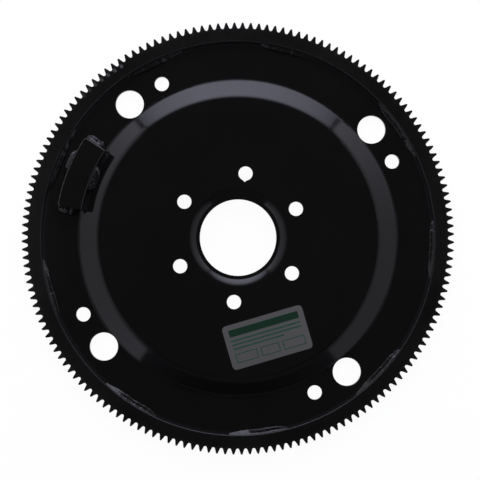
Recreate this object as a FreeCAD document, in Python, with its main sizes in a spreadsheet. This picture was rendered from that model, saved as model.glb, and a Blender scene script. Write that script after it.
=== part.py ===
import FreeCAD, Part
import math
import os
import Sketcher

# A flexplate lying on the back face of its ring gear, engine side up, in millimetres.
# The crankshaft axis is Z, and z = 0 is the plane that the ring gear rests on.
# Angles are in degrees, measured from +X about Z.

SIZES = {
    # pressed plate
    "plate_gauge": 3.2,
    "flange_lift": 2.0,
    "flange_inner_radius": 135.2,
    "flange_width": 30.2,
    "dish_rise": 9.2,
    "dish_angle": 34.0,
    "foot_flare": 10.0,
    "foot_flare_angle": 12.0,
    "foot_bend": 3.7,
    "top_bend": 4.8,
    "lip_bend": 7.8,
    "land_width": 2.95,
    "land_drop": 2.9,
    "land_corner": 0.5,
    "bore_diameter": 64.1,
    # bolt and drain holes
    "crank_reach": 21.95,
    "crank_hole": 11.9,
    "crank_hole_count": 6,
    "crank_angle": 30.0,
    "crank_offset": 3.0,
    "notch_width": 4.0,
    "notch_depth": 1.2,
    "converter_reach": 10.05,
    "converter_hole_count": 4,
    "stud_hole": 12.1,
    "stud_angle": 30.0,
    "drain_hole": 23.7,
    "drain_lead": 12.7,
    # ring gear
    "ring_fit": 0.05,
    "ring_width": 9.5,
    "ring_chamfer": 0.45,
    "rim_thickness": 11.08,
    "tooth_depth": 5.02,
    "tooth_count": 164,
    "tooth_angle": 0.226,
    "gap_flank": 20.5,
    "gap_floor": 1.4,
    "tip_easing": 0.6,
    # counterweight
    "weight_tuck": 2.2,
    "weight_width": 20.3,
    "weight_height": 9.0,
    "weight_angle": 162.05,
    "weight_span": 23.4,
    "weight_corner": 2.5,
    "weight_chamfer": 0.7,
    "weight_foot_chamfer": 2.6,
    # weld beads
    "ring_bead_leg": 4.6,
    "ring_bead_drop": 0.45,
    "bead_clearance": 1.5,
    "side_bead_height": 5.0,
    "side_bead_shift": -2.25,
    "side_bead_span": 9.9,
    "groove_bead_toe": 5.8,
    "groove_bead_heel": 1.6,
    "groove_bead_root": 0.4,
    "groove_bead_height": 5.6,
    "groove_bead_shift": -0.45,
    "groove_bead_span": 9.3,
    "end_bead_leg": 5.6,
    "end_bead_height": 5.6,
    "end_bead_inner_margin": 2.6,
    "end_bead_outer_margin": 1.2,
    "bead_crown": 0.6,
    "bead_end": 1.4,
    # foil label
    "label_length": 69.4,
    "label_width": 37.4,
    "label_corner": 3.5,
    "label_foil": 0.15,
    "label_inset": 48.3,
    "label_angle": -70.05,
}

# The ring welds were laid by hand: the angle of each bead's middle, and its span.
RING_BEADS = [
    (77.9, 18.1),
    (37.8, 19.3),
    (0.2, 16.9),
    (-40.25, 18.4),
    (-80.3, 17.5),
    (-119.7, 17.7),
    (-161.2, 17.7),
    (159.95, 19.8),
    (119.15, 17.8),
]

OFFSET_CRANK_HOLE_INDEX = 1
CUTTER_OVERRUN = 1.0
TINY = 1e-6

Vector = FreeCAD.Vector
ORIGIN = (-1, 1)
X_AXIS = ORIGIN[0]
START, END, CENTRE = range(1, 4)


class Measure:
    """A number, with the expression that gives it from the sheet's cells."""

    def __init__(self, number, text):
        self.number = number
        self.text = text

    def __add__(self, other):
        other = as_measure(other)
        return Measure(self.number + other.number, f"({self.text} + {other.text})")

    def __sub__(self, other):
        other = as_measure(other)
        return Measure(self.number - other.number, f"({self.text} - {other.text})")

    def __mul__(self, other):
        other = as_measure(other)
        return Measure(self.number * other.number, f"({self.text} * {other.text})")

    def __truediv__(self, other):
        other = as_measure(other)
        return Measure(self.number / other.number, f"({self.text} / {other.text})")

    def sin(self):
        return Measure(math.sin(math.radians(self.number)), f"sin({self.text} * 1 deg)")

    def cos(self):
        return Measure(math.cos(math.radians(self.number)), f"cos({self.text} * 1 deg)")

    def sqrt(self):
        return Measure(math.sqrt(self.number), f"sqrt({self.text})")

    def as_angle(self):
        return f"{self.text} * 1 deg"


def as_measure(value):
    return value if isinstance(value, Measure) else Measure(value, str(value))


def cell(alias):
    """The size that a cell of the sheet holds."""
    return Measure(SIZES[alias], "Sizes." + alias)


def full_turn():
    return as_measure(360)


def flange_front():
    return cell("flange_lift") + cell("plate_gauge")


def hub_front():
    return flange_front() + cell("dish_rise")


def bore_radius():
    return cell("bore_diameter") / 2


def ring_bore():
    """Radius of the ring gear's bore, which the flange fills."""
    return cell("flange_inner_radius") + cell("flange_width")


def root_radius():
    return ring_bore() + cell("rim_thickness")


def tip_radius():
    return root_radius() + cell("tooth_depth")


def weight_inner():
    return cell("flange_inner_radius") - cell("weight_tuck")


def weight_outer():
    return weight_inner() + cell("weight_width")


def cone_height(radius):
    """Height of the conical step's front surface at a radius."""
    slope, ease = cell("dish_angle"), cell("foot_flare_angle")
    flare, bend = cell("foot_flare"), cell("foot_bend")
    start = cell("flange_inner_radius") - (flare - bend) * ease.sin() - bend * slope.sin()
    foot_rise = flare - (flare - bend) * ease.cos() - bend * slope.cos()
    return flange_front() + foot_rise + (start - radius) * slope.sin() / slope.cos()


def make_sheet(doc):
    """The sheet of driving sizes, one aliased cell for each."""
    sheet = doc.addObject("Spreadsheet::Sheet", "Sizes")
    for row, (alias, number) in enumerate(SIZES.items(), start=1):
        sheet.set(f"A{row}", alias.replace("_", " "))
        sheet.set(f"B{row}", str(number))
        sheet.setAlias(f"B{row}", alias)
    doc.recompute()


def new_body(doc, label, turn=None):
    """A sub-part, with its placement turned about the crankshaft axis where an angle is given."""
    body = doc.addObject("PartDesign::Body", label)
    body.Label = label
    if turn:
        body.Placement = FreeCAD.Placement(Vector(), FreeCAD.Rotation(Vector(0, 0, 1), turn.number))
        body.setExpression("Placement.Rotation.Angle", turn.as_angle())
    return body


def origin_feature(body, role):
    return next(item for item in body.Origin.OriginFeatures if item.Role == role)


def new_sketch(body, plane, name, lift=None, turn=None):
    """A sketch on one of the body's own planes, lifted off it or turned about its normal."""
    sketch = body.newObject("Sketcher::SketchObject", name)
    sketch.AttachmentSupport = [(origin_feature(body, plane), "")]
    sketch.MapMode = "FlatFace"
    if lift:
        sketch.setExpression("AttachmentOffset.Base.z", lift.text)
    if turn:
        rotation = FreeCAD.Rotation(Vector(0, 0, 1), turn.number)
        sketch.AttachmentOffset = FreeCAD.Placement(Vector(), rotation)
        sketch.setExpression("AttachmentOffset.Rotation.Angle", turn.as_angle())
    return sketch


def drive(sketch, kind, refs, name, measure):
    """A dimension of the sketch, bound to the sheet."""
    angular = kind == "Angle"
    number = math.radians(measure.number) if angular else measure.number
    index = sketch.addConstraint(Sketcher.Constraint(kind, *refs, number))
    sketch.renameConstraint(index, name)
    sketch.setExpression("Constraints." + name, measure.as_angle() if angular else measure.text)


def end_at(sketch, curve, point):
    """Which end of a sketch curve, START or END, lies at a point."""
    first, second = ((sketch.getPoint(curve, end) - point).Length for end in (START, END))
    return START if first < second else END


def direction_at(sketch, curve, point):
    """The direction of a sketch curve at one of its ends."""
    geometry = sketch.Geometry[curve]
    if isinstance(geometry, Part.LineSegment):
        return (geometry.EndPoint - geometry.StartPoint).normalize()
    radial = (point - geometry.Center).normalize()
    return Vector(-radial.y, radial.x, 0)


def draw_outline(sketch, start, steps, squared=True):
    """A closed outline, joined where its curves meet. A step is an end point, and an arc's centre or None."""
    curves, corner = [], start
    for end, centre in steps:
        if centre is None:
            curves.append(sketch.addGeometry(Part.LineSegment(corner, end)))
        else:
            middle = centre + ((corner + end) * 0.5 - centre).normalize() * (end - centre).Length
            curves.append(sketch.addGeometry(Part.Arc(corner, middle, end)))
        if squared and centre is None and abs(end.y - corner.y) < TINY:
            sketch.addConstraint(Sketcher.Constraint("Horizontal", curves[-1]))
        if squared and centre is None and abs(end.x - corner.x) < TINY:
            sketch.addConstraint(Sketcher.Constraint("Vertical", curves[-1]))
        corner = end
    for (corner, _), here, after in zip(steps, curves, curves[1:] + curves[:1]):
        turn = direction_at(sketch, here, corner).cross(direction_at(sketch, after, corner)).Length
        refs = (here, end_at(sketch, here, corner), after, end_at(sketch, after, corner))
        sketch.addConstraint(Sketcher.Constraint("Tangent" if turn < TINY else "Coincident", *refs))
    return curves


def pad(body, sketch, name, length):
    feature = body.newObject("PartDesign::Pad", name)
    feature.Profile = sketch
    feature.setExpression("Length", length.text)
    return feature


def cut_upwards(body, sketch, name):
    """A pocket from the XY plane up through all that is above it."""
    pocket = body.newObject("PartDesign::Pocket", name)
    pocket.Profile = sketch
    pocket.Type = "ThroughAll"
    pocket.Reversed = True
    return pocket


def turn_section(body, sketch, name, span=None):
    """A section turned about Z, all the way round or through a span centred on the section's plane."""
    feature = body.newObject("PartDesign::Revolution", name)
    feature.Profile = sketch
    feature.ReferenceAxis = (sketch, ["V_Axis"])
    feature.setExpression("Angle", full_turn().as_angle())
    if span:
        feature.Midplane = True
        feature.setExpression("Angle", span.as_angle())
    return feature


def repeat_round(body, feature, name, count):
    """Copies of a feature, evenly spaced about Z."""
    pattern = body.newObject("PartDesign::PolarPattern", name)
    pattern.Originals = [feature]
    pattern.Axis = (origin_feature(body, "Z_Axis"), [""])
    pattern.setExpression("Angle", full_turn().as_angle())
    pattern.setExpression("Occurrences", count.text)
    body.Tip = pattern


def dress_edges(body, kind, name, base, size, wanted):
    """A fillet or chamfer on the edges that a test picks from a feature."""
    body.Document.recompute()
    edges = [f"Edge{place}" for place, edge in enumerate(base.Shape.Edges, start=1) if wanted(edge)]
    feature = body.newObject("PartDesign::" + kind, name)
    feature.Base = (base, edges)
    feature.setExpression("Radius" if kind == "Fillet" else "Size", size.text)
    body.Tip = feature
    return feature


def is_arc_of(edge, radius):
    return isinstance(edge.Curve, Part.Circle) and abs(edge.Curve.Radius - radius) < TINY


def is_level(edge, height):
    return all(abs(vertex.Z - height) < TINY for vertex in edge.Vertexes)


def is_upright_at(edge, radius):
    start, end = (vertex.Point for vertex in edge.Vertexes)
    upright = abs(start.x - end.x) < TINY and abs(start.y - end.y) < TINY
    return upright and abs(math.hypot(start.x, start.y) - radius) < TINY


def surface_points(depth):
    """The points along the plate at a depth below its front, each with the centre of any arc ending there."""
    gauge, rise, drop = (SIZES[alias] for alias in ("plate_gauge", "dish_rise", "land_drop"))
    front = SIZES["flange_lift"] + gauge
    slope, ease = math.radians(SIZES["dish_angle"]), math.radians(SIZES["foot_flare_angle"])
    flare, foot, crest = SIZES["foot_flare"], SIZES["foot_bend"], SIZES["top_bend"] + gauge
    slope_normal = Vector(math.sin(slope), math.cos(slope), 0)
    ease_normal = Vector(math.sin(ease), math.cos(ease), 0)
    flare_centre = Vector(SIZES["flange_inner_radius"], front + flare, 0)
    foot_centre = flare_centre - ease_normal * (flare - foot)
    cone_start = foot_centre - slope_normal * foot
    straight_rise = front + rise - crest * (1 - math.cos(slope)) - cone_start.y
    crest_x = cone_start.x - straight_rise / math.tan(slope) - crest * math.sin(slope)
    crest_centre = Vector(crest_x, front + rise - crest, 0)

    lip, corner = SIZES["lip_bend"] + gauge, SIZES["land_corner"]
    land_x = bore_radius().number + SIZES["land_width"]
    lip_turn = math.acos(1 - drop / (lip + corner))
    lip_x = land_x + (lip + corner) * math.sin(lip_turn)
    lip_centre = Vector(lip_x, front + rise - lip, 0)
    land_centre = Vector(land_x, front + rise - drop + corner, 0)
    lip_normal = Vector(-math.sin(lip_turn), math.cos(lip_turn), 0)
    return [
        (Vector(flare_centre.x, front - depth, 0), None),
        (flare_centre - ease_normal * (flare + depth), flare_centre),
        (foot_centre - slope_normal * (foot + depth), foot_centre),
        (crest_centre + slope_normal * (crest - depth), None),
        (Vector(crest_x, front + rise - depth, 0), crest_centre),
        (Vector(lip_x, front + rise - depth, 0), None),
        (lip_centre + lip_normal * (lip - depth), lip_centre),
        (Vector(land_x, front + rise - drop - depth, 0), land_centre),
        (Vector(bore_radius().number, front + rise - drop - depth, 0), None),
    ]


def draw_plate_section(sketch):
    """Half section of the pressed plate: inwards along its front, down the bore and back underneath."""
    edge = ring_bore() - cell("ring_fit")
    above, below = surface_points(0), surface_points(SIZES["plate_gauge"])
    last, *back = reversed(below)
    steps = above + [(last[0], None)]
    steps += [(point, centre) for (point, _), (_, centre) in zip(back, [last] + back)]
    steps.append((Vector(edge.number, SIZES["flange_lift"], 0), None))
    steps.append((Vector(edge.number, flange_front().number, 0), None))
    curves = draw_outline(sketch, steps[-1][0], steps)
    flange, flare, foot, cone, crest, hub, lip, corner, land, bore, *back_curves, rim = curves
    _, corner_back, lip_back, _, crest_back, _, foot_back, flare_back, _ = back_curves
    front_arcs = (flare, foot, crest, lip, corner)
    back_arcs = (flare_back, foot_back, crest_back, lip_back, corner_back)
    for front_arc, back_arc in zip(front_arcs, back_arcs):
        sketch.addConstraint(Sketcher.Constraint("Coincident", front_arc, CENTRE, back_arc, CENTRE))
    drive(sketch, "DistanceX", (*ORIGIN, rim, START), "edge_radius", edge)
    drive(sketch, "DistanceY", (*ORIGIN, rim, START), "lift", cell("flange_lift"))
    drive(sketch, "DistanceY", (rim, START, rim, END), "gauge", cell("plate_gauge"))
    drive(sketch, "DistanceX", (*ORIGIN, flare, CENTRE), "inner_radius", cell("flange_inner_radius"))
    drive(sketch, "Radius", (flare,), "foot_flare", cell("foot_flare"))
    drive(sketch, "Angle", (flare,), "foot_flare_angle", cell("foot_flare_angle"))
    drive(sketch, "Radius", (foot,), "foot_bend", cell("foot_bend"))
    drive(sketch, "Radius", (crest_back,), "top_bend", cell("top_bend"))
    drive(sketch, "Angle", (*ORIGIN, cone, START), "slope", full_turn() / 2 - cell("dish_angle"))
    drive(sketch, "DistanceY", (flange, START, hub, START), "rise", cell("dish_rise"))
    drive(sketch, "Radius", (lip_back,), "lip_bend", cell("lip_bend"))
    drive(sketch, "Radius", (corner,), "land_corner", cell("land_corner"))
    drive(sketch, "DistanceX", (bore, START, corner, CENTRE), "land_width", cell("land_width"))
    drive(sketch, "DistanceY", (land, START, hub, START), "land_drop", cell("land_drop"))
    drive(sketch, "DistanceX", (*ORIGIN, bore, START), "bore_radius", bore_radius())


def cut_hole(body, name, reach, diameter, turn):
    """A round hole through the plate, at a radius and an angle."""
    sketch = new_sketch(body, "XY_Plane", name + "_sketch", turn=turn)
    centre = Vector(reach.number, 0, 0)
    hole = sketch.addGeometry(Part.Circle(centre, Vector(0, 0, 1), diameter.number / 2))
    sketch.addConstraint(Sketcher.Constraint("PointOnObject", hole, CENTRE, X_AXIS))
    drive(sketch, "DistanceX", (*ORIGIN, hole, CENTRE), "reach", reach)
    drive(sketch, "Diameter", (hole,), "diameter", diameter)
    return cut_upwards(body, sketch, name)


def cut_notch(body, middle, turn):
    """The V notch in the offset crank hole's wall, on the side that faces the crankshaft axis."""
    sketch = new_sketch(body, "XY_Plane", "notch_sketch", turn=turn)
    radius, width = cell("crank_hole") / 2, cell("notch_width")
    apex_x = middle - radius - cell("notch_depth")
    mouth_x = middle - radius / 2
    wall_x = middle - (radius * radius - width * width / 4).sqrt()
    spread = width * (mouth_x - apex_x) / (wall_x - apex_x)
    apex = Vector(apex_x.number, 0, 0)
    high, low = (Vector(mouth_x.number, side * spread.number / 2, 0) for side in (1, -1))
    down, mouth, up = draw_outline(sketch, apex, [(low, None), (high, None), (apex, None)], squared=False)
    sketch.addConstraint(Sketcher.Constraint("PointOnObject", down, START, X_AXIS))
    sketch.addConstraint(Sketcher.Constraint("Symmetric", mouth, START, mouth, END, X_AXIS))
    drive(sketch, "DistanceX", (*ORIGIN, down, START), "apex", apex_x)
    drive(sketch, "DistanceX", (*ORIGIN, up, START), "mouth", mouth_x)
    drive(sketch, "DistanceY", (mouth, START, mouth, END), "spread", spread)
    cut_upwards(body, sketch, "locating_notch")


def make_plate(doc):
    """The pressed plate: outer flange, conical step, raised hub face and the sunk land round its bore."""
    body = new_body(doc, "pressed_plate")
    section = new_sketch(body, "XZ_Plane", "plate_section")
    draw_plate_section(section)
    turn_section(body, section, "pressing")
    reach = bore_radius() + cell("crank_reach")
    for index in range(SIZES["crank_hole_count"]):
        angle = cell("crank_angle") + full_turn() / cell("crank_hole_count") * index
        if index == OFFSET_CRANK_HOLE_INDEX:
            angle = angle - cell("crank_offset")
            cut_notch(body, reach, angle)
        cut_hole(body, f"crank_hole_{index + 1}", reach, cell("crank_hole"), angle)
    reach, angle = cell("flange_inner_radius") + cell("converter_reach"), cell("stud_angle")
    stud = cut_hole(body, "stud_hole", reach, cell("stud_hole"), angle)
    repeat_round(body, stud, "stud_holes", cell("converter_hole_count"))
    drain = cut_hole(body, "drain_hole", reach, cell("drain_hole"), angle + cell("drain_lead"))
    repeat_round(body, drain, "drain_holes", cell("converter_hole_count"))
    return body


def draw_tooth_gap(sketch):
    """The gap between two teeth: a round floor, two straight flanks and the eased corners of the tips."""
    flank, floor, easing = cell("gap_flank"), cell("gap_floor"), cell("tip_easing")
    floor_x = root_radius() + floor
    crest_x = tip_radius() - easing
    mouth_x = tip_radius() + CUTTER_OVERRUN
    slope = math.tan(math.radians(flank.number))
    foot_x = floor_x.number - floor.number * flank.sin().number
    foot_y = floor.number * flank.cos().number
    turn_x = crest_x.number + easing.number * flank.sin().number
    turn_y = foot_y + (turn_x - foot_x) * slope
    crest_y = turn_y + easing.number * flank.cos().number

    def across(x, y):
        return Vector(x, -y, 0), Vector(x, y, 0)

    low_foot, high_foot = across(foot_x, foot_y)
    low_turn, high_turn = across(turn_x, turn_y)
    low_crest, high_crest = across(crest_x.number, crest_y)
    low_tip, high_tip = across(tip_radius().number, crest_y)
    low_mouth, high_mouth = across(mouth_x.number, crest_y)
    steps = [(low_foot, Vector(floor_x.number, 0, 0)), (low_turn, None), (low_tip, low_crest),
             (low_mouth, None), (high_mouth, None), (high_tip, None), (high_turn, high_crest),
             (high_foot, None)]
    curves = draw_outline(sketch, high_foot, steps, squared=False)
    floor_arc, _, low_ease, low_side, mouth, high_side, high_ease, high_flank = curves
    sketch.addConstraint(Sketcher.Constraint("PointOnObject", floor_arc, CENTRE, X_AXIS))
    sketch.addConstraint(Sketcher.Constraint("Symmetric", mouth, START, mouth, END, X_AXIS))
    sketch.addConstraint(Sketcher.Constraint("Symmetric", low_side, START, high_side, END, X_AXIS))
    sketch.addConstraint(Sketcher.Constraint("Horizontal", high_side))
    sketch.addConstraint(Sketcher.Constraint("Horizontal", high_side, END, high_ease, CENTRE))
    sketch.addConstraint(Sketcher.Constraint("Symmetric", low_ease, CENTRE, high_ease, CENTRE, X_AXIS))
    drive(sketch, "Radius", (floor_arc,), "floor", floor)
    drive(sketch, "Radius", (high_ease,), "easing", easing)
    drive(sketch, "DistanceX", (*ORIGIN, floor_arc, CENTRE), "root", floor_x)
    drive(sketch, "DistanceX", (*ORIGIN, high_ease, CENTRE), "crest", crest_x)
    drive(sketch, "DistanceX", (*ORIGIN, mouth, START), "mouth", mouth_x)
    drive(sketch, "Angle", (*ORIGIN, high_flank, END), "flank", flank)


def make_ring_gear(doc):
    """The ring gear: a blank with a chamfered bore, and the tooth gaps cut through its rim."""
    body = new_body(doc, "ring_gear")
    blank = new_sketch(body, "XY_Plane", "blank_sketch")
    for name, radius in (("tip", tip_radius()), ("bore", ring_bore())):
        circle = blank.addGeometry(Part.Circle(Vector(), Vector(0, 0, 1), radius.number))
        blank.addConstraint(Sketcher.Constraint("Coincident", circle, CENTRE, *ORIGIN))
        drive(blank, "Radius", (circle,), name, radius)
    ring = pad(body, blank, "ring_blank", cell("ring_width"))
    dress_edges(body, "Chamfer", "bore_chamfers", ring, cell("ring_chamfer"),
                lambda edge: is_arc_of(edge, ring_bore().number))
    half_pitch = full_turn() / 2 / cell("tooth_count")
    gap = new_sketch(body, "XY_Plane", "gap_sketch", turn=cell("tooth_angle") + half_pitch)
    draw_tooth_gap(gap)
    repeat_round(body, cut_upwards(body, gap, "tooth_gap"), "tooth_gaps", cell("tooth_count"))
    return body


def make_weight(doc):
    """The counterweight: an arc-shaped bar on the flange, outside the foot of the conical step."""
    body = new_body(doc, "counterweight", turn=cell("weight_angle"))
    sketch = new_sketch(body, "XY_Plane", "weight_sketch", lift=flange_front())
    half = cell("weight_span") / 2
    inner, outer = weight_inner(), weight_outer()

    def at(radius, side):
        return Vector(radius.number * half.cos().number, side * radius.number * half.sin().number, 0)

    steps = [(at(outer, -1), None), (at(outer, 1), Vector()), (at(inner, 1), None), (at(inner, -1), Vector())]
    low_end, outer_arc, high_end, inner_arc = draw_outline(sketch, at(inner, -1), steps, squared=False)
    for arc, radius, name in ((outer_arc, outer, "outer"), (inner_arc, inner, "inner")):
        sketch.addConstraint(Sketcher.Constraint("Coincident", arc, CENTRE, *ORIGIN))
        drive(sketch, "Radius", (arc,), name, radius)
    for end in (low_end, high_end):
        sketch.addConstraint(Sketcher.Constraint("PointOnObject", *ORIGIN, end))
    drive(sketch, "DistanceY", (*ORIGIN, high_end, START), "high_end", outer * half.sin())
    drive(sketch, "DistanceY", (low_end, END, *ORIGIN), "low_end", outer * half.sin())
    bar = pad(body, sketch, "weight_bar", cell("weight_height"))
    foot = flange_front().number
    top = foot + SIZES["weight_height"]
    rounded = dress_edges(body, "Fillet", "outer_corners", bar, cell("weight_corner"),
                          lambda edge: is_upright_at(edge, outer.number))
    eased = dress_edges(body, "Chamfer", "top_chamfer", rounded, cell("weight_chamfer"),
                        lambda edge: is_level(edge, top))
    dress_edges(body, "Chamfer", "foot_chamfer", eased, cell("weight_foot_chamfer"),
                lambda edge: is_level(edge, foot) and is_arc_of(edge, inner.number))
    return body


def draw_bead_section(sketch, corners):
    """A fillet weld's section: straight from its toe round to its head, and crowned from there back."""
    points = [Vector(across.number, up.number, 0) for across, up in corners]
    (toe_x, toe_y), (head_x, head_y) = corners[0], corners[-1]
    span_x, span_y = head_x - toe_x, head_y - toe_y
    crown = cell("bead_crown")
    radius = ((span_x * span_x + span_y * span_y) / 4 + crown * crown) / (crown * 2)
    chord = points[-1] - points[0]
    inward = Vector(-chord.y, chord.x, 0).normalize()
    if inward.dot(points[1] - points[0]) < 0:
        inward = inward * -1
    centre = (points[0] + points[-1]) * 0.5 + inward * (radius.number - crown.number)
    steps = [(point, None) for point in points[1:]] + [(points[0], centre)]
    curves = draw_outline(sketch, points[0], steps, squared=False)
    for curve, point, (across, up) in zip(curves, points, corners):
        corner = (*ORIGIN, curve, end_at(sketch, curve, point))
        drive(sketch, "DistanceX", corner, f"across_{curve}", across)
        drive(sketch, "DistanceY", corner, f"up_{curve}", up)
    drive(sketch, "Radius", (curves[-1],), "crown", radius)
    return radius.number


def make_round_bead(doc, label, corners, angle, span):
    """A bead that runs round the axis, with its crowned face rounded off at both ends."""
    body = new_body(doc, label, turn=angle)
    section = new_sketch(body, "XZ_Plane", label + "_section")
    radius = draw_bead_section(section, corners)
    bead = turn_section(body, section, label + "_bead", span)
    dress_edges(body, "Fillet", label + "_ends", bead, cell("bead_end"), lambda edge: is_arc_of(edge, radius))
    return body


def make_ring_beads(doc):
    """The welds in the corner between the flange and the ring gear's bore."""
    wall, floor = ring_bore(), flange_front()
    head = cell("ring_width") - cell("ring_chamfer") - cell("ring_bead_drop")
    corners = [(wall - cell("ring_bead_leg"), floor), (wall, floor), (wall, head)]
    return [
        make_round_bead(doc, f"ring_weld_{number}", corners, as_measure(angle), as_measure(span))
        for number, (angle, span) in enumerate(RING_BEADS, start=1)
    ]


def make_side_bead(doc):
    """The weld along the counterweight's outer wall."""
    wall, floor = weight_outer(), flange_front()
    toe = ring_bore() - cell("ring_bead_leg") - cell("bead_clearance")
    corners = [(toe, floor), (wall, floor), (wall, floor + cell("side_bead_height"))]
    angle = cell("weight_angle") + cell("side_bead_shift")
    return make_round_bead(doc, "weight_weld_outer", corners, angle, cell("side_bead_span"))


def make_groove_bead(doc):
    """The weld in the groove between the counterweight's inner wall and the conical step."""
    wall, floor = weight_inner(), flange_front()
    toe, heel = wall - cell("groove_bead_toe"), wall - cell("groove_bead_heel")
    root = floor + cell("weight_foot_chamfer") + cell("groove_bead_root")
    corners = [(toe, cone_height(toe)), (heel, cone_height(heel)), (wall, root),
               (wall, floor + cell("groove_bead_height"))]
    angle = cell("weight_angle") + cell("groove_bead_shift")
    return make_round_bead(doc, "weight_weld_inner", corners, angle, cell("groove_bead_span"))


def make_end_bead(doc, label, side):
    """The weld across one end of the counterweight."""
    body = new_body(doc, label, turn=cell("weight_angle") + cell("weight_span") / 2 * side)
    start = weight_inner() + cell("end_bead_inner_margin")
    section = new_sketch(body, "YZ_Plane", label + "_section", lift=start)
    floor = flange_front()
    corners = [(cell("end_bead_leg") * side, floor), (as_measure(0), floor),
               (as_measure(0), floor + cell("end_bead_height"))]
    radius = draw_bead_section(section, corners)
    bead = pad(body, section, label + "_bead", weight_outer() - cell("end_bead_outer_margin") - start)
    dress_edges(body, "Fillet", label + "_ends", bead, cell("bead_end"), lambda edge: is_arc_of(edge, radius))
    return body


def make_label(doc):
    """The foil label on the hub face, with its long side square to the radius."""
    angle = cell("label_angle")
    body = new_body(doc, "foil_label", turn=angle + full_turn() / 4)
    reach = cell("flange_inner_radius") - cell("label_inset")
    body.setExpression("Placement.Base.x", (reach * angle.cos()).text)
    body.setExpression("Placement.Base.y", (reach * angle.sin()).text)
    body.setExpression("Placement.Base.z", hub_front().text)
    sketch = new_sketch(body, "XY_Plane", "label_sketch")
    corner = cell("label_corner")
    half_x, half_y = cell("label_length") / 2, cell("label_width") / 2
    steps = []
    for across, up in ((1, -1), (1, 1), (-1, 1), (-1, -1)):
        centre = Vector(across * (half_x - corner).number, up * (half_y - corner).number, 0)
        side = centre + Vector(across * corner.number, 0, 0)
        level = centre + Vector(0, up * corner.number, 0)
        steps += [(level, None), (side, centre)] if across == -up else [(side, None), (level, centre)]
    curves = draw_outline(sketch, steps[-1][0], steps)
    arcs = curves[1::2]
    for arc in arcs[1:]:
        sketch.addConstraint(Sketcher.Constraint("Equal", arcs[0], arc))
    drive(sketch, "Radius", (arcs[0],), "corner", corner)
    drive(sketch, "DistanceX", (*ORIGIN, arcs[1], CENTRE), "half_length", half_x - corner)
    drive(sketch, "DistanceY", (*ORIGIN, arcs[1], CENTRE), "half_width", half_y - corner)
    sketch.addConstraint(Sketcher.Constraint("Symmetric", arcs[1], CENTRE, arcs[3], CENTRE, *ORIGIN))
    pad(body, sketch, "label_sheet", cell("label_foil"))
    return body


def check_objects(doc):
    """Stops if any object of the document failed."""
    for item in doc.Objects:
        if "Invalid" in item.State or "Error" in item.State:
            raise RuntimeError(f"{item.Name} failed: {item.getStatusString()}")


def write_parts(bodies):
    """One STEP file for each sub-part."""
    os.makedirs("parts", exist_ok=True)
    for body in bodies:
        if body.Shape.isNull() or not body.Shape.isValid():
            raise RuntimeError(f"{body.Label} has no valid shape")
    for body in bodies:
        body.Shape.exportStep(f"parts/{body.Label}.step")
        print(body.Label, round(body.Shape.Volume, 1), "mm3")


def main():
    doc = FreeCAD.newDocument("Flexplate")
    make_sheet(doc)
    bodies = [make_plate(doc), make_ring_gear(doc), make_weight(doc)]
    bodies += make_ring_beads(doc)
    bodies += [make_side_bead(doc), make_groove_bead(doc)]
    bodies += [make_end_bead(doc, "weight_weld_low_end", -1), make_end_bead(doc, "weight_weld_high_end", 1)]
    bodies.append(make_label(doc))
    doc.recompute()
    check_objects(doc)
    write_parts(bodies)


main()
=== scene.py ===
import math

import bmesh
import bpy
from mathutils import Matrix, Vector, noise


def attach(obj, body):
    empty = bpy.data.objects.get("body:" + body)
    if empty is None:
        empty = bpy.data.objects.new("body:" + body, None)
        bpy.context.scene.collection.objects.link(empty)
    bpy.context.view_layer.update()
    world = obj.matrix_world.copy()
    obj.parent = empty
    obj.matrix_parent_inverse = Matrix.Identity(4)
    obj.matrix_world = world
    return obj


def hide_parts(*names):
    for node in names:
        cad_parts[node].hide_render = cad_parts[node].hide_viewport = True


# Metres and degrees in the part's frame: crankshaft axis Z, ring gear resting at z = 0, engine side up.

MM = 0.001

# camera: the tilts, the turn and the offsets bring the part into the camera's own axes
CAMERA_DISTANCE = 0.9822
CAMERA_LENS = 87.2
CAMERA_SENSOR = 36.0
TILT_ACROSS = 1.37
TILT_UP = 0.32
CAMERA_TURN = 3.65
OFFSET_RIGHT = -1.65 * MM
OFFSET_UP = 1.82 * MM
AIM_HEIGHT = 3.6 * MM

# light tent, in the camera's turn: how tall its walls are, how far each stands from the axis, how wide the
# dark seams are at both ends of the top wall, and the walls' tints
TENT_HEIGHT = 2.6
TENT_RIGHT = 0.60
TENT_LEFT = 0.598
TENT_TOP = 0.70
TENT_BOTTOM = 0.72
TENT_SEAM = 0.035
TOP_TINT = (1.0, 1.0, 1.25, 1.0)
SIDE_TINT = (1.02, 1.0, 1.15, 1.0)

# how bright each wall is along its length and up its height, as (place in metres, level)
TOP_ALONG = [(-0.60, 1.2), (-0.51, 1.6), (-0.44, 2.15), (-0.39, 2.45), (-0.19, 3.3), (0.0, 3.3), (0.19, 3.0),
             (0.33, 2.55), (0.44, 1.95), (0.51, 1.5), (0.60, 1.2)]
RIGHT_ALONG = [(-0.72, 0.46), (-0.35, 0.48), (0.0, 0.52), (0.16, 0.60), (0.35, 0.83), (0.70, 1.3)]
LEFT_ALONG = [(-0.72, 0.72), (0.0, 0.55), (0.20, 0.65), (0.40, 0.88), (0.70, 1.3)]
BOTTOM_ALONG = [(-0.65, 0.09), (0.60, 0.09)]
TOP_UP = [(0.0, 0.84), (0.17, 0.88), (0.24, 1.05), (0.38, 0.95), (0.58, 0.91), (0.81, 0.75), (0.93, 0.60),
          (1.13, 0.34), (1.65, 0.05), (TENT_HEIGHT, 0.025)]
RIGHT_UP = [(0.0, 0.95), (0.13, 1.0), (0.30, 1.12), (0.50, 1.18), (0.77, 0.95), (1.0, 0.80), (1.4, 0.52),
            (TENT_HEIGHT, 0.06)]
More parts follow.
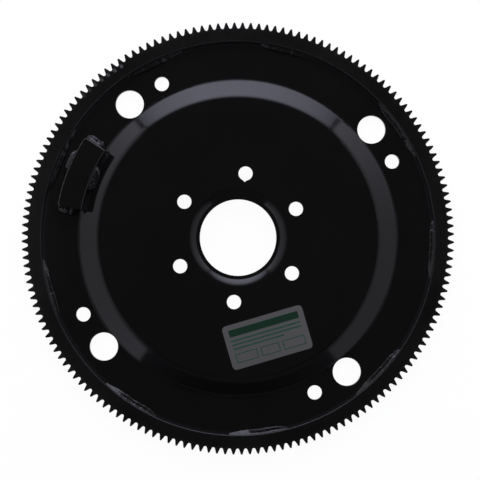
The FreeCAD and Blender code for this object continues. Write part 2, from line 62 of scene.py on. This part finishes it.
LEFT_UP = [(0.0, 0.95), (0.13, 1.0), (0.30, 1.12), (0.50, 1.18), (0.77, 0.95), (1.0, 0.80), (1.4, 0.55),
           (TENT_HEIGHT, 0.28)]
BOTTOM_UP = [(0.0, 0.1), (0.15, 0.2), (0.30, 1.0), (1.2, 1.0), (1.7, 0.5), (TENT_HEIGHT, 0.3)]

# how much lower the levels sit at a wall's ends, by the square of the distance from its middle in metres
CORNER_DROP = 1.0

# what the part sees past the tent, and what the camera sees past the floor
ROOM_LIGHT = 0.064
BACKDROP_LIGHT = 1.0
WHITE = (1.0, 1.0, 1.0, 1.0)

# floor: its own albedo, and the faint one under the glow that the camera and the reflections see
FLOOR_SIDE = 6.0
FLOOR_DROP = 0.2 * MM
FLOOR_ALBEDO = 0.8
FLOOR_SEEN_ALBEDO = 0.06
FLOOR_SEEN_LIGHT = 0.96

# black paint: its colours, and each finish as (roughness, depth of the orange peel, unevenness of the tone)
PAINT_IOR = 1.4
PAINT_BLACK = (0.0041, 0.0041, 0.0038)
WELD_BLACK = (0.006, 0.006, 0.0055)
PLATE_FINISH = (0.1, 0.004 * MM, 0.1)
WELD_FINISH = (0.14, 0.006 * MM, 0.1)
RING_FINISH = (0.14, 0.005 * MM, 0.3)

# the paint's noises as (scale, detail), the part of each noise's range that counts, and the least and most
# that the roughness becomes, as shares of it
TONE_NOISE = (22.0, 3.0)
GLOSS_NOISE = (260.0, 4.0)
PEEL_NOISE = (700.0, 3.0)
TONE_RANGE = (0.35, 0.65)
GLOSS_RANGE = (0.3, 0.75)
GLOSS_LEAST = 0.8
GLOSS_MOST = 1.3

# paint that grows paler from the ring gear's face to the tips of its teeth: painted light standing in for the
# glow of the white background around them
RING_BLACK = (0.005, 0.005, 0.0043, 1.0)
TIP_LIT_BLACK = (0.012, 0.012, 0.011, 1.0)
TIP_GLOW_SPAN = (174.0 * MM, 181.5 * MM)

# thin rough paint in the corner between the flange and the ring gear's bore, made paler there with painted
# light that lifts the corner's shade
CORNER_PAINTED_LIGHT = (0.009, 0.009, 0.009, 1.0)
CORNER_ROUGHNESS = 0.32
PLATE_CORNER = (162.4 * MM, 164.6 * MM)
RING_CORNER = (166.6 * MM, 165.8 * MM)

# painted light that lifts the shade in the groove between the step and the counterweight's wall, strongest at
# the wall
GROOVE_PAINTED_LIGHT = (0.033, 0.033, 0.031, 1.0)
GROOVE_FLOOR = (127.8 * MM, 132.9 * MM)
GROOVE_END_FADE = 0.6

# painted glint at the feet of a few ring gear teeth, grey spots standing in for the lamps' glint on their
# chamfers,
# on an arc that drifts outwards: how ragged their height is, where they fade out as a share of it, and where
# the wave that repeats with the teeth turns to grey
TOOTH_COUNT = 164
FIRST_GLINT_ANGLE = 127.4
LAST_GLINT_ANGLE = 141.8
GLINT_SHIFT = 0.58
GLINT_RADIUS = 174.6 * MM
GLINT_DRIFT = 2.5 * MM
GLINT_HALF_HEIGHT = 1.8 * MM
LAST_GLINT_STRENGTH = 0.3
GLINT_NOISE = (900.0, 3.0)
GLINT_RAGGED = (0.75, 1.15)
GLINT_EDGE = (0.75, 1.1)
GLINT_WAVE = (0.15, 0.55)
GLINT_GREY = (0.052, 0.052, 0.052, 1.0)
GLINT_ROUGHNESS = 0.5

# label: where its middle lies, its print as blocks of (across, up, half width, half height) in millimetres,
# and its foil and inks
LABEL_REACH = 86.9 * MM
LABEL_ANGLE = -70.05
LABEL_BAR = (0.0, 11.4, 30.0, 3.0)
LABEL_RULES = [(0.0, 5.0, 30.0, 0.7), (0.0, 1.6, 30.0, 0.7), (-8.0, -1.8, 22.0, 0.7)]
LABEL_FIELDS = [(-20.5, -10.0, 9.5, 4.0), (0.0, -10.0, 8.0, 4.0), (20.5, -10.0, 9.5, 4.0)]
LABEL_FIELD_LINE = 0.8
FOIL = (0.48, 0.48, 0.468, 1.0)
FOIL_ROUGHNESS = 0.32
FOIL_NOISE = (120.0, 2.0)
FOIL_DENT = 0.03 * MM
BAR_INK = (0.003, 0.030, 0.012, 1.0)
LINE_INK = (0.022, 0.075, 0.042, 1.0)
INK_ROUGHNESS = 0.35

# the surfaces that the welds lie on
FLANGE_TOP = 5.2 * MM
RING_BORE = 165.4 * MM
WEIGHT_INNER = 133.0 * MM
WEIGHT_OUTER = 153.3 * MM
WEIGHT_CORNER = 2.5 * MM
WEIGHT_ANGLE = 162.05
WEIGHT_HALF_SPAN = 11.7

# weld beads in their corners: how far they sink in, their legs along the flange and rise up the wall, where
# those at the counterweight's ends start and how far they wrap its corner, and the section of the one in
# the groove as (radius, height) from toe round to head
BEAD_SINK = 0.1 * MM
RING_BEAD_LEG = 4.6 * MM
RING_BEAD_RISE = 3.4 * MM
SIDE_BEAD_LEG = 6.0 * MM
SIDE_BEAD_RISE = 5.0 * MM
END_BEAD_LEG = 5.6 * MM
END_BEAD_START = 135.6 * MM
END_BEAD_WRAP = 2.6 * MM
GROOVE_CORNERS = [
    (127.2 * MM, 9.09 * MM),
    (131.4 * MM, 6.1 * MM),
    (133.1 * MM, 8.1 * MM),
    (133.0 * MM, 10.8 * MM),
]

# the angle of each bead's middle, and its span
RING_WELDS = [
    (77.9, 18.1),
    (37.8, 19.3),
    (0.2, 16.9),
    (-40.25, 18.4),
    (-80.3, 17.5),
    (-119.7, 17.7),
    (-161.2, 17.7),
    (159.95, 19.8),
    (119.15, 17.8),
]
SIDE_WELD = (159.8, -9.9)
GROOVE_WELD = (161.6, 9.3)

# how lumpy each weld's face is, the width of its steep toe as a share of the face, and its first taper as a
# share of its length; then what sets each bead's noise apart
RING_FACE = (1.0, 0.1, 0.45)
SIDE_FACE = (1.2, 0.3, 0.45)
GROOVE_FACE = (1.8, 0.4, 0.4)
END_FACE = (1.0, 0.1, 0.25)
RING_SEED_STEP = 7.3
SIDE_SEED = 71.0
GROOVE_SEED = 83.0
LOW_END_SEED = 91.0
HIGH_END_SEED = 97.0

# the face of a bead: a plain slope where the weld was started, then a steep toe, a flat back and a raised
# edge, with the last taper, the plain stretch, its fade and its shift as shares of the bead's length
BEAD_STEP = 0.35 * MM
BEAD_FACETS = 18
BEAD_TAPER = 0.25
BEAD_TIP = 0.2
BEAD_WANDER = 0.14
PLAIN_SHARE = 0.25
PLAIN_FADE = 0.1
PLAIN_SHIFT = 0.1
TOE_SHARE = 0.58
EDGE_POWER = 5
RIPPLE_PITCH = 3.1 * MM
RIPPLE_BOW = 2.0 * MM
RIPPLE_HEIGHT = 0.06 * MM
LUMP_LENGTH = 4.0 * MM
LUMP_HEIGHT = 0.35 * MM
LUMPS_ACROSS = 1.6

# planes of the noise that a bead's plain stretch and its size are read in
PLAIN_PLANE = 2.5
SIZE_PLANE = 0.5


def photo_frame():
    """The part's axes turned so that +Y points up in the camera's view."""
    return Matrix.Rotation(math.radians(CAMERA_TURN), 4, "Z")


def make_camera():
    """A long lens almost square to the plate."""
    data = bpy.data.cameras.new("camera")
    data.lens = CAMERA_LENS
    data.sensor_width = CAMERA_SENSOR
    camera = bpy.data.objects.new("camera", data)
    bpy.context.collection.objects.link(camera)
    seen = (
        Matrix.Translation((OFFSET_RIGHT, OFFSET_UP, -CAMERA_DISTANCE))
        @ Matrix.Rotation(math.radians(TILT_UP), 4, "Y")
        @ Matrix.Rotation(math.radians(-TILT_ACROSS), 4, "X")
        @ photo_frame().inverted()
        @ Matrix.Translation((0, 0, -AIM_HEIGHT))
    )
    camera.matrix_world = seen.inverted()
    bpy.context.scene.camera = camera


def new_material(name):
    """An empty node material, with its output node."""
    material = bpy.data.materials.new(name)
    material.use_nodes = True
    tree = material.node_tree
    tree.nodes.clear()
    return material, tree, tree.nodes.new("ShaderNodeOutputMaterial")


def add_node(tree, kind, inputs=None, **settings):
    """A node with its settings, and its inputs given as numbers or as other nodes' outputs."""
    node = tree.nodes.new(kind)
    for name, value in settings.items():
        setattr(node, name, value)
    for name, value in (inputs or {}).items():
        if isinstance(value, bpy.types.NodeSocket):
            tree.links.new(value, node.inputs[name])
        else:
            node.inputs[name].default_value = value
    return node


def math_node(tree, operation, *values):
    """The result of a math node."""
    return add_node(tree, "ShaderNodeMath", dict(enumerate(values)), operation=operation).outputs[0]


def noise_at(tree, place, scale, detail):
    """Smooth noise between 0 and 1."""
    inputs = {"Vector": place, "Scale": scale, "Detail": detail}
    return add_node(tree, "ShaderNodeTexNoise", inputs).outputs["Fac"]


def spread(tree, value, low, high, out_low, out_high):
    """A value carried from one range to another, held at its ends."""
    inputs = {"Value": value, "From Min": low, "From Max": high, "To Min": out_low, "To Max": out_high}
    return add_node(tree, "ShaderNodeMapRange", inputs).outputs["Result"]


def blend(tree, kind, amount, first, second):
    """Two colours or two numbers, mixed by an amount."""
    node = add_node(tree, "ShaderNodeMix", data_type=kind)
    sockets = [socket for socket in node.inputs if socket.enabled]
    for socket, value in zip(sockets, (amount, first, second)):
        if isinstance(value, bpy.types.NodeSocket):
            tree.links.new(value, socket)
        else:
            socket.default_value = value
    return next(socket for socket in node.outputs if socket.enabled)


def object_place(tree):
    """The point of the part that is shaded."""
    return tree.nodes.new("ShaderNodeTexCoord").outputs["Object"]


def graded(tree, place, levels):
    """A level read off at a place, between stops that each give a place and its level."""
    start, end = levels[0][0], levels[-1][0]
    most = max(level for _, level in levels)
    ramp = add_node(tree, "ShaderNodeValToRGB", {"Fac": spread(tree, place, start, end, 0.0, 1.0)})
    stops = ramp.color_ramp.elements
    for spot, _ in levels[1:-1]:
        stops.new((spot - start) / (end - start))
    for stop, (_, level) in zip(stops, levels):
        stop.color = (level / most,) * 3 + (1.0,)
    return math_node(tree, "MULTIPLY", ramp.outputs["Color"], most)


def light_wall(name, start, end, tint, along, up):
    """An upright glowing wall of the tent between two corners, unseen by the camera."""
    corners = [(*start, 0), (*end, 0), (*end, TENT_HEIGHT), (*start, TENT_HEIGHT)]
    mesh = bpy.data.meshes.new(name)
    mesh.from_pydata(corners, [], [(0, 1, 2, 3)])
    wall = bpy.data.objects.new(name, mesh)
    wall.matrix_world = photo_frame()
    bpy.context.collection.objects.link(wall)
    material, tree, output = new_material(name)
    place = add_node(tree, "ShaderNodeSeparateXYZ", {0: object_place(tree)})
    run = place.outputs["Y" if start[0] == end[0] else "X"]
    drop = math_node(tree, "MULTIPLY_ADD", math_node(tree, "MULTIPLY", run, run), CORNER_DROP, 1.0)
    level = graded(tree, math_node(tree, "MULTIPLY", place.outputs["Z"], drop), up)
    strength = math_node(tree, "MULTIPLY", graded(tree, run, along), level)
    glow = add_node(tree, "ShaderNodeEmission", {"Color": tint, "Strength": strength})
    tree.links.new(glow.outputs[0], output.inputs["Surface"])
    mesh.materials.append(material)
    wall.visible_camera = False


def make_lights():
    """A light tent open overhead: one bright wall, two dimmer ones and a dark one."""
    top_right, top_left = (TENT_RIGHT, TENT_TOP), (-TENT_LEFT, TENT_TOP)
    low_right, low_left = (TENT_RIGHT, -TENT_BOTTOM), (-TENT_LEFT, -TENT_BOTTOM)
    seam_right, seam_left = (TENT_RIGHT - TENT_SEAM, TENT_TOP), (TENT_SEAM - TENT_LEFT, TENT_TOP)
    light_wall("tent_top", seam_right, seam_left, TOP_TINT, TOP_ALONG, TOP_UP)
    light_wall("tent_left", top_left, low_left, SIDE_TINT, LEFT_ALONG, LEFT_UP)
    light_wall("tent_bottom", low_left, low_right, SIDE_TINT, BOTTOM_ALONG, BOTTOM_UP)
    light_wall("tent_right", low_right, top_right, SIDE_TINT, RIGHT_ALONG, RIGHT_UP)


def make_world():
    """White where the camera sees past the floor, and a dim grey room to the part."""
    world = bpy.data.worlds.new("room")
    world.use_nodes = True
    bpy.context.scene.world = world
    tree = world.node_tree
    tree.nodes.clear()
    output = tree.nodes.new("ShaderNodeOutputWorld")
    path = tree.nodes.new("ShaderNodeLightPath")
    strength = spread(tree, path.outputs["Is Camera Ray"], 0.0, 1.0, ROOM_LIGHT, BACKDROP_LIGHT)
    room = add_node(tree, "ShaderNodeBackground", {"Color": WHITE, "Strength": strength})
    tree.links.new(room.outputs[0], output.inputs["Surface"])


def make_floor():
    """A pale floor, seen and mirrored as white with a faint shadow."""
    half = FLOOR_SIDE / 2
    corners = [(-half, -half), (half, -half), (half, half), (-half, half)]
    mesh = bpy.data.meshes.new("floor")
    mesh.from_pydata([(x, y, -FLOOR_DROP) for x, y in corners], [], [(0, 1, 2, 3)])
    floor = bpy.data.objects.new("floor", mesh)
    bpy.context.collection.objects.link(floor)
    material, tree, output = new_material("floor")
    path = tree.nodes.new("ShaderNodeLightPath")
    seen = math_node(tree, "MAXIMUM", path.outputs["Is Camera Ray"], path.outputs["Is Glossy Ray"])
    seen = math_node(tree, "MAXIMUM", seen, path.outputs["Is Transmission Ray"])
    plain = add_node(tree, "ShaderNodeBsdfDiffuse", {"Color": (FLOOR_ALBEDO,) * 3 + (1,)})
    faint = add_node(tree, "ShaderNodeBsdfDiffuse", {"Color": (FLOOR_SEEN_ALBEDO,) * 3 + (1,)})
    glow = add_node(tree, "ShaderNodeEmission", {"Strength": FLOOR_SEEN_LIGHT})
    white = add_node(tree, "ShaderNodeAddShader", {0: faint.outputs[0], 1: glow.outputs[0]})
    mixed = add_node(tree, "ShaderNodeMixShader", {0: seen, 1: plain.outputs[0], 2: white.outputs[0]})
    tree.links.new(mixed.outputs[0], output.inputs["Surface"])
    mesh.materials.append(material)


def radius_at(tree, place):
    """Distance from the crankshaft axis."""
    flat = add_node(tree, "ShaderNodeVectorMath", {0: place, 1: (1, 1, 0)}, operation="MULTIPLY").outputs[0]
    return add_node(tree, "ShaderNodeVectorMath", {0: flat}, operation="LENGTH").outputs["Value"]


def groove_painted_light(tree, place):
    """How much painted light lifts the shade on the flange beside the counterweight: 0 at the step, 1 at the
    counterweight's wall.
    """
    axes = add_node(tree, "ShaderNodeSeparateXYZ", {0: place})
    angle = math_node(tree, "DEGREES", math_node(tree, "ARCTAN2", axes.outputs["Y"], axes.outputs["X"]))
    off_middle = math_node(tree, "ABSOLUTE", math_node(tree, "SUBTRACT", angle, WEIGHT_ANGLE))
    beside = spread(tree, off_middle, WEIGHT_HALF_SPAN, WEIGHT_HALF_SPAN - GROOVE_END_FADE, 0.0, 1.0)
    radius = radius_at(tree, place)
    step, wall = GROOVE_FLOOR
    inside = math_node(tree, "COMPARE", radius, (step + wall) / 2, (wall - step) / 2)
    depth = spread(tree, radius, step, wall, 0.0, 1.0)
    return math_node(tree, "MULTIPLY", math_node(tree, "MULTIPLY", beside, inside), depth)


def paint_shader(tree, place, colour, finish, corner=None, groove=False):
    """Gloss black paint with orange peel and uneven tone, rougher near a corner's radius and paler there and
    in the groove with painted light that lifts their shade.
    """
    roughness, peel, mottle = finish
    tone = spread(tree, noise_at(tree, place, *TONE_NOISE), *TONE_RANGE, 1 - mottle, 1 + mottle)
    base = add_node(tree, "ShaderNodeVectorMath", {0: colour, "Scale": tone}, operation="SCALE").outputs[0]
    least, most = roughness * GLOSS_LEAST, roughness * GLOSS_MOST
    gloss = spread(tree, noise_at(tree, place, *GLOSS_NOISE), *GLOSS_RANGE, least, most)
    if corner:
        # painted light: the paint grows paler into the corner to lift its shade, and rougher there
        corner_share = spread(tree, radius_at(tree, place), *corner, 0.0, 1.0)
        base = blend(tree, "RGBA", corner_share, base, CORNER_PAINTED_LIGHT)
        gloss = blend(tree, "FLOAT", corner_share, gloss, CORNER_ROUGHNESS)
    if groove:
        # painted light: paler paint in the groove lifts the shade beside the counterweight
        base = blend(tree, "RGBA", groove_painted_light(tree, place), base, GROOVE_PAINTED_LIGHT)
    height = noise_at(tree, place, *PEEL_NOISE)
    bump = add_node(tree, "ShaderNodeBump", {"Height": height, "Strength": 1.0, "Distance": peel})
    inputs = {"Base Color": base, "Roughness": gloss, "IOR": PAINT_IOR, "Normal": bump.outputs["Normal"]}
    return add_node(tree, "ShaderNodeBsdfPrincipled", inputs).outputs[0]


def black_paint(name, colour, finish, corner=None, groove=False):
    """A material of black paint alone."""
    material, tree, output = new_material(name)
    paint = paint_shader(tree, object_place(tree), colour, finish, corner, groove)
    tree.links.new(paint, output.inputs["Surface"])
    return material


def painted_glint_mask(tree, place):
    """How strong the painted glint is at the feet of some teeth: up to 1 in its grey spots, else 0."""
    axes = add_node(tree, "ShaderNodeSeparateXYZ", {0: place})
    x, y = axes.outputs["X"], axes.outputs["Y"]
    radius = radius_at(tree, place)
    angle = math_node(tree, "DEGREES", math_node(tree, "ARCTAN2", y, x))
    shifted = math_node(tree, "RADIANS", math_node(tree, "SUBTRACT", angle, GLINT_SHIFT))
    wave = math_node(tree, "COSINE", math_node(tree, "MULTIPLY", shifted, TOOTH_COUNT))
    middle = spread(tree, angle, FIRST_GLINT_ANGLE, LAST_GLINT_ANGLE, GLINT_RADIUS, GLINT_RADIUS + GLINT_DRIFT)
    off_middle = math_node(tree, "ABSOLUTE", math_node(tree, "SUBTRACT", radius, middle))
    ragged = spread(tree, noise_at(tree, place, *GLINT_NOISE), *TONE_RANGE, *GLINT_RAGGED)
    reach = math_node(tree, "MULTIPLY", ragged, GLINT_HALF_HEIGHT)
    spot = spread(tree, math_node(tree, "DIVIDE", off_middle, reach), *GLINT_EDGE, 1.0, 0.0)
    spot = math_node(tree, "MULTIPLY", spot, spread(tree, wave, *GLINT_WAVE, 0.0, 1.0))
    fade = spread(tree, angle, FIRST_GLINT_ANGLE, LAST_GLINT_ANGLE, 1.0, LAST_GLINT_STRENGTH)
    spot = math_node(tree, "MULTIPLY", spot, fade)
    window_middle = (FIRST_GLINT_ANGLE + LAST_GLINT_ANGLE) / 2
    window_half = (LAST_GLINT_ANGLE - FIRST_GLINT_ANGLE) / 2
    return math_node(tree, "MULTIPLY", spot, math_node(tree, "COMPARE", angle, window_middle, window_half))


def ring_paint():
    """More uneven paint on the ring gear, with painted light paling it to the tips and a painted glint at the
    feet of a few teeth.
    """
    material, tree, output = new_material("ring_paint")
    place = object_place(tree)
    # painted light: the paint grows paler towards the tips of the teeth, for the glow of the white background
    # around them
    tips = spread(tree, radius_at(tree, place), *TIP_GLOW_SPAN, 0.0, 1.0)
    colour = blend(tree, "RGBA", tips, RING_BLACK, TIP_LIT_BLACK)
    paint = paint_shader(tree, place, colour, RING_FINISH, RING_CORNER)
    # painted glint: grey spots at the feet of a few teeth stand in for the lamps' glint on their chamfers
    glint_shader = add_node(tree, "ShaderNodeBsdfPrincipled", {
        "Base Color": GLINT_GREY,
        "Roughness": GLINT_ROUGHNESS,
        "IOR": PAINT_IOR,
    })
    mixed = add_node(tree, "ShaderNodeMixShader", {0: painted_glint_mask(tree, place), 1: paint, 2: glint_shader.outputs[0]})
    tree.links.new(mixed.outputs[0], output.inputs["Surface"])
    return material


def block(tree, axes, across, up, half_width, half_height):
    """1 inside an upright rectangle of the label's plane, else 0."""
    in_width = math_node(tree, "COMPARE", axes.outputs["X"], across, half_width)
    in_height = math_node(tree, "COMPARE", axes.outputs["Y"], up, half_height)
    return math_node(tree, "MULTIPLY", in_width, in_height)


def label_print(tree):
    """A plain generic print: a mask of its bar, and one of its ruled lines and empty fields."""
    angle = math.radians(LABEL_ANGLE)
    middle = (LABEL_REACH * math.cos(angle), LABEL_REACH * math.sin(angle), 0)
    local = add_node(tree, "ShaderNodeMapping", {
        "Vector": object_place(tree),
        "Location": middle,
        "Rotation": (0, 0, angle + math.pi / 2),
        "Scale": (MM, MM, MM),
    }, vector_type="TEXTURE")
    axes = add_node(tree, "ShaderNodeSeparateXYZ", {0: local.outputs[0]})
    lines = 0.0
    for rule in LABEL_RULES:
        lines = math_node(tree, "MAXIMUM", lines, block(tree, axes, *rule))
    for across, up, half_width, half_height in LABEL_FIELDS:
        outside = block(tree, axes, across, up, half_width, half_height)
        inner_width, inner_height = half_width - LABEL_FIELD_LINE, half_height - LABEL_FIELD_LINE
        inside = block(tree, axes, across, up, inner_width, inner_height)
        lines = math_node(tree, "MAXIMUM", lines, math_node(tree, "SUBTRACT", outside, inside))
    return block(tree, axes, *LABEL_BAR), lines


def label_foil():
    """Matt silver foil with a plain green print."""
    material, tree, output = new_material("label_foil")
    dents = noise_at(tree, object_place(tree), *FOIL_NOISE)
    bump = add_node(tree, "ShaderNodeBump", {"Height": dents, "Strength": 1.0, "Distance": FOIL_DENT})
    foil = add_node(tree, "ShaderNodeBsdfPrincipled", {
        "Base Color": FOIL,
        "Metallic": 1.0,
        "Roughness": FOIL_ROUGHNESS,
        "Normal": bump.outputs["Normal"],
    })
    face = foil.outputs[0]
    for mask, colour in zip(label_print(tree), (BAR_INK, LINE_INK)):
        ink = add_node(tree, "ShaderNodeBsdfPrincipled", {"Base Color": colour, "Roughness": INK_ROUGHNESS})
        face = add_node(tree, "ShaderNodeMixShader", {0: mask, 1: face, 2: ink.outputs[0]}).outputs[0]
    tree.links.new(face, output.inputs["Surface"])
    return material


def paint_node(node, material):
    """Gives a CAD node its material."""
    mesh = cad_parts[node].data
    mesh.materials.clear()
    mesh.materials.append(material)


def stepped_share(share, seed):
    """How far a bead's face has gone over from plain to stepped, at a share of its length."""
    shift = noise.noise(Vector((share / PLAIN_SHARE, seed, PLAIN_PLANE))) * PLAIN_SHIFT
    return min(1.0, max(0.0, (share + shift - PLAIN_SHARE) / PLAIN_FADE))


def bead_size(along, length, seed, first_taper):
    """How large a bead is at a place along it: tapered at both ends, and wandering a little."""
    near = min(along / first_taper, (length - along) / BEAD_TAPER) / length
    taper = 1 - (1 - min(1.0, near)) ** 2
    wander = 1 + BEAD_WANDER * noise.noise(Vector((along / LUMP_LENGTH, seed, SIZE_PLANE)))
    return (BEAD_TIP + (1 - BEAD_TIP) * taper) * wander


def face_height(across, stepped, toe_width):
    """Height of a bead's face over its toe, as a share of its rise."""
    step = TOE_SHARE * (1 - math.exp(-across / toe_width)) + (1 - TOE_SHARE) * across ** EDGE_POWER
    return across + (step - across) * stepped


def face_lump(across, along, seed):
    """Unevenness of a bead's face: weak bowed ripples and irregular lumps."""
    bow = RIPPLE_BOW * (2 * across - 1) ** 2
    ripple = RIPPLE_HEIGHT * math.cos(math.tau * (along + bow) / RIPPLE_PITCH)
    lump = LUMP_HEIGHT * noise.noise(Vector((along / LUMP_LENGTH, across * LUMPS_ACROSS, seed)))
    return (ripple + lump) * math.sin(math.pi * across)


def bead_mesh(name, corners, length, place, seed, face):
    """A weld bead along a path. Its section runs from toe round root to head, then back down its face."""
    lumps, toe_width, first_taper = face
    root = Vector(corners[-2])
    rings = round(length / BEAD_STEP)
    solid = bmesh.new()
    rows = []
    for ring in range(rings + 1):
        along = length * ring / rings
        size = bead_size(along, length, seed, first_taper)
        stepped = stepped_share(ring / rings, seed)
        row = [root + (Vector(corner) - root) * size for corner in corners]
        toe, head = row[0], row[-1]
        rise = (head - root).length
        for facet in range(BEAD_FACETS - 1, 0, -1):
            across = facet / BEAD_FACETS
            lift = rise * (face_height(across, stepped, toe_width) - across)
            lift += face_lump(across, along, seed) * size * lumps
            row.append(toe + (head - toe) * across + Vector((0, lift)))
        rows.append([solid.verts.new(place(point.x, point.y, along)) for point in row])
    for row, after in zip(rows, rows[1:]):
        for spot in range(len(row)):
            beside = (spot + 1) % len(row)
            solid.faces.new((row[spot], row[beside], after[beside], after[spot])).smooth = True
    solid.faces.new(rows[0])
    solid.faces.new(rows[-1])
    bmesh.ops.recalc_face_normals(solid, faces=solid.faces)
    mesh = bpy.data.meshes.new(name)
    solid.to_mesh(mesh)
    solid.free()
    return mesh


def add_bead(node, corners, length, place, seed, face, material):
    """An uneven bead in place of a smooth one."""
    name = node + "_uneven"
    mesh = bead_mesh(name, corners, length, place, seed, face)
    mesh.materials.append(material)
    bead = bpy.data.objects.new(name, mesh)
    bpy.context.collection.objects.link(bead)
    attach(bead, "root")
    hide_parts(node)


def round_place(middle, span, radius):
    """Places points on an arc about the axis, backwards at a negative span, and gives the arc's length."""
    start = math.radians(middle - span / 2)
    turn = math.copysign(1.0, span)

    def place(across, up, along):
        angle = start + turn * along / radius
        return Vector((across * math.cos(angle), across * math.sin(angle), up))

    return place, math.radians(abs(span)) * radius


def end_place(side):
    """Places points along an end of the counterweight and round its corner, and gives the path's length."""
    angle = math.radians(WEIGHT_ANGLE + side * WEIGHT_HALF_SPAN)
    outward = Vector((math.cos(angle), math.sin(angle), 0))
    sideways = Vector((-outward.y, outward.x, 0)) * side
    bend = WEIGHT_OUTER - WEIGHT_CORNER
    centre = outward * bend - sideways * WEIGHT_CORNER

    def place(across, up, along):
        past = END_BEAD_START + along - bend
        turn = max(0.0, past) / WEIGHT_CORNER
        facing = sideways * math.cos(turn) + outward * math.sin(turn)
        return centre + outward * min(0.0, past) + facing * (WEIGHT_CORNER + across) + Vector((0, 0, up))

    return place, bend + END_BEAD_WRAP - END_BEAD_START


def corner_section(wall, inwards, leg, rise):
    """A bead's section in the corner between the flange and a wall, with its root sunk into both."""
    return [
        (wall + inwards * leg, FLANGE_TOP),
        (wall - inwards * BEAD_SINK, FLANGE_TOP - BEAD_SINK),
        (wall, FLANGE_TOP + rise),
    ]


def make_welds(material):
    """Every weld bead of the part."""
    corners = corner_section(RING_BORE, -1, RING_BEAD_LEG, RING_BEAD_RISE)
    for number, (middle, span) in enumerate(RING_WELDS, start=1):
        place, length = round_place(middle, span, RING_BORE)
        seed = number * RING_SEED_STEP
        add_bead(f"ring_weld_{number}", corners, length, place, seed, RING_FACE, material)
    corners = corner_section(WEIGHT_OUTER, 1, SIDE_BEAD_LEG, SIDE_BEAD_RISE)
    place, length = round_place(*SIDE_WELD, WEIGHT_OUTER)
    add_bead("weight_weld_outer", corners, length, place, SIDE_SEED, SIDE_FACE, material)
    place, length = round_place(*GROOVE_WELD, WEIGHT_INNER)
    add_bead("weight_weld_inner", GROOVE_CORNERS, length, place, GROOVE_SEED, GROOVE_FACE, material)
    corners = corner_section(0.0, 1, END_BEAD_LEG, END_BEAD_LEG)
    for end, side, seed in (("low", -1, LOW_END_SEED), ("high", 1, HIGH_END_SEED)):
        place, length = end_place(side)
        add_bead(f"weight_weld_{end}_end", corners, length, place, seed, END_FACE, material)


def main():
    """The part's looks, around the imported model."""
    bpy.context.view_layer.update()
    make_camera()
    make_world()
    make_lights()
    make_floor()
    paint = black_paint("black_paint", PAINT_BLACK, PLATE_FINISH, PLATE_CORNER, groove=True)
    weld = black_paint("weld_paint", WELD_BLACK, WELD_FINISH)
    paint_node("pressed_plate", paint)
    paint_node("counterweight", paint)
    paint_node("ring_gear", ring_paint())
    paint_node("foil_label", label_foil())
    make_welds(weld)
    bpy.context.scene.view_settings.view_transform = "Standard"


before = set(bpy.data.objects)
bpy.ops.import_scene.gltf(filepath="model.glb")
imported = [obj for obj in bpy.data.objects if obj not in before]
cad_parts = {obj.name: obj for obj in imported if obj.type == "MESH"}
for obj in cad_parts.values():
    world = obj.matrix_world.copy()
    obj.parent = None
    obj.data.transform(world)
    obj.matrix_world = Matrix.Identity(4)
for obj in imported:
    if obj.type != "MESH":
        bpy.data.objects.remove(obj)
main()
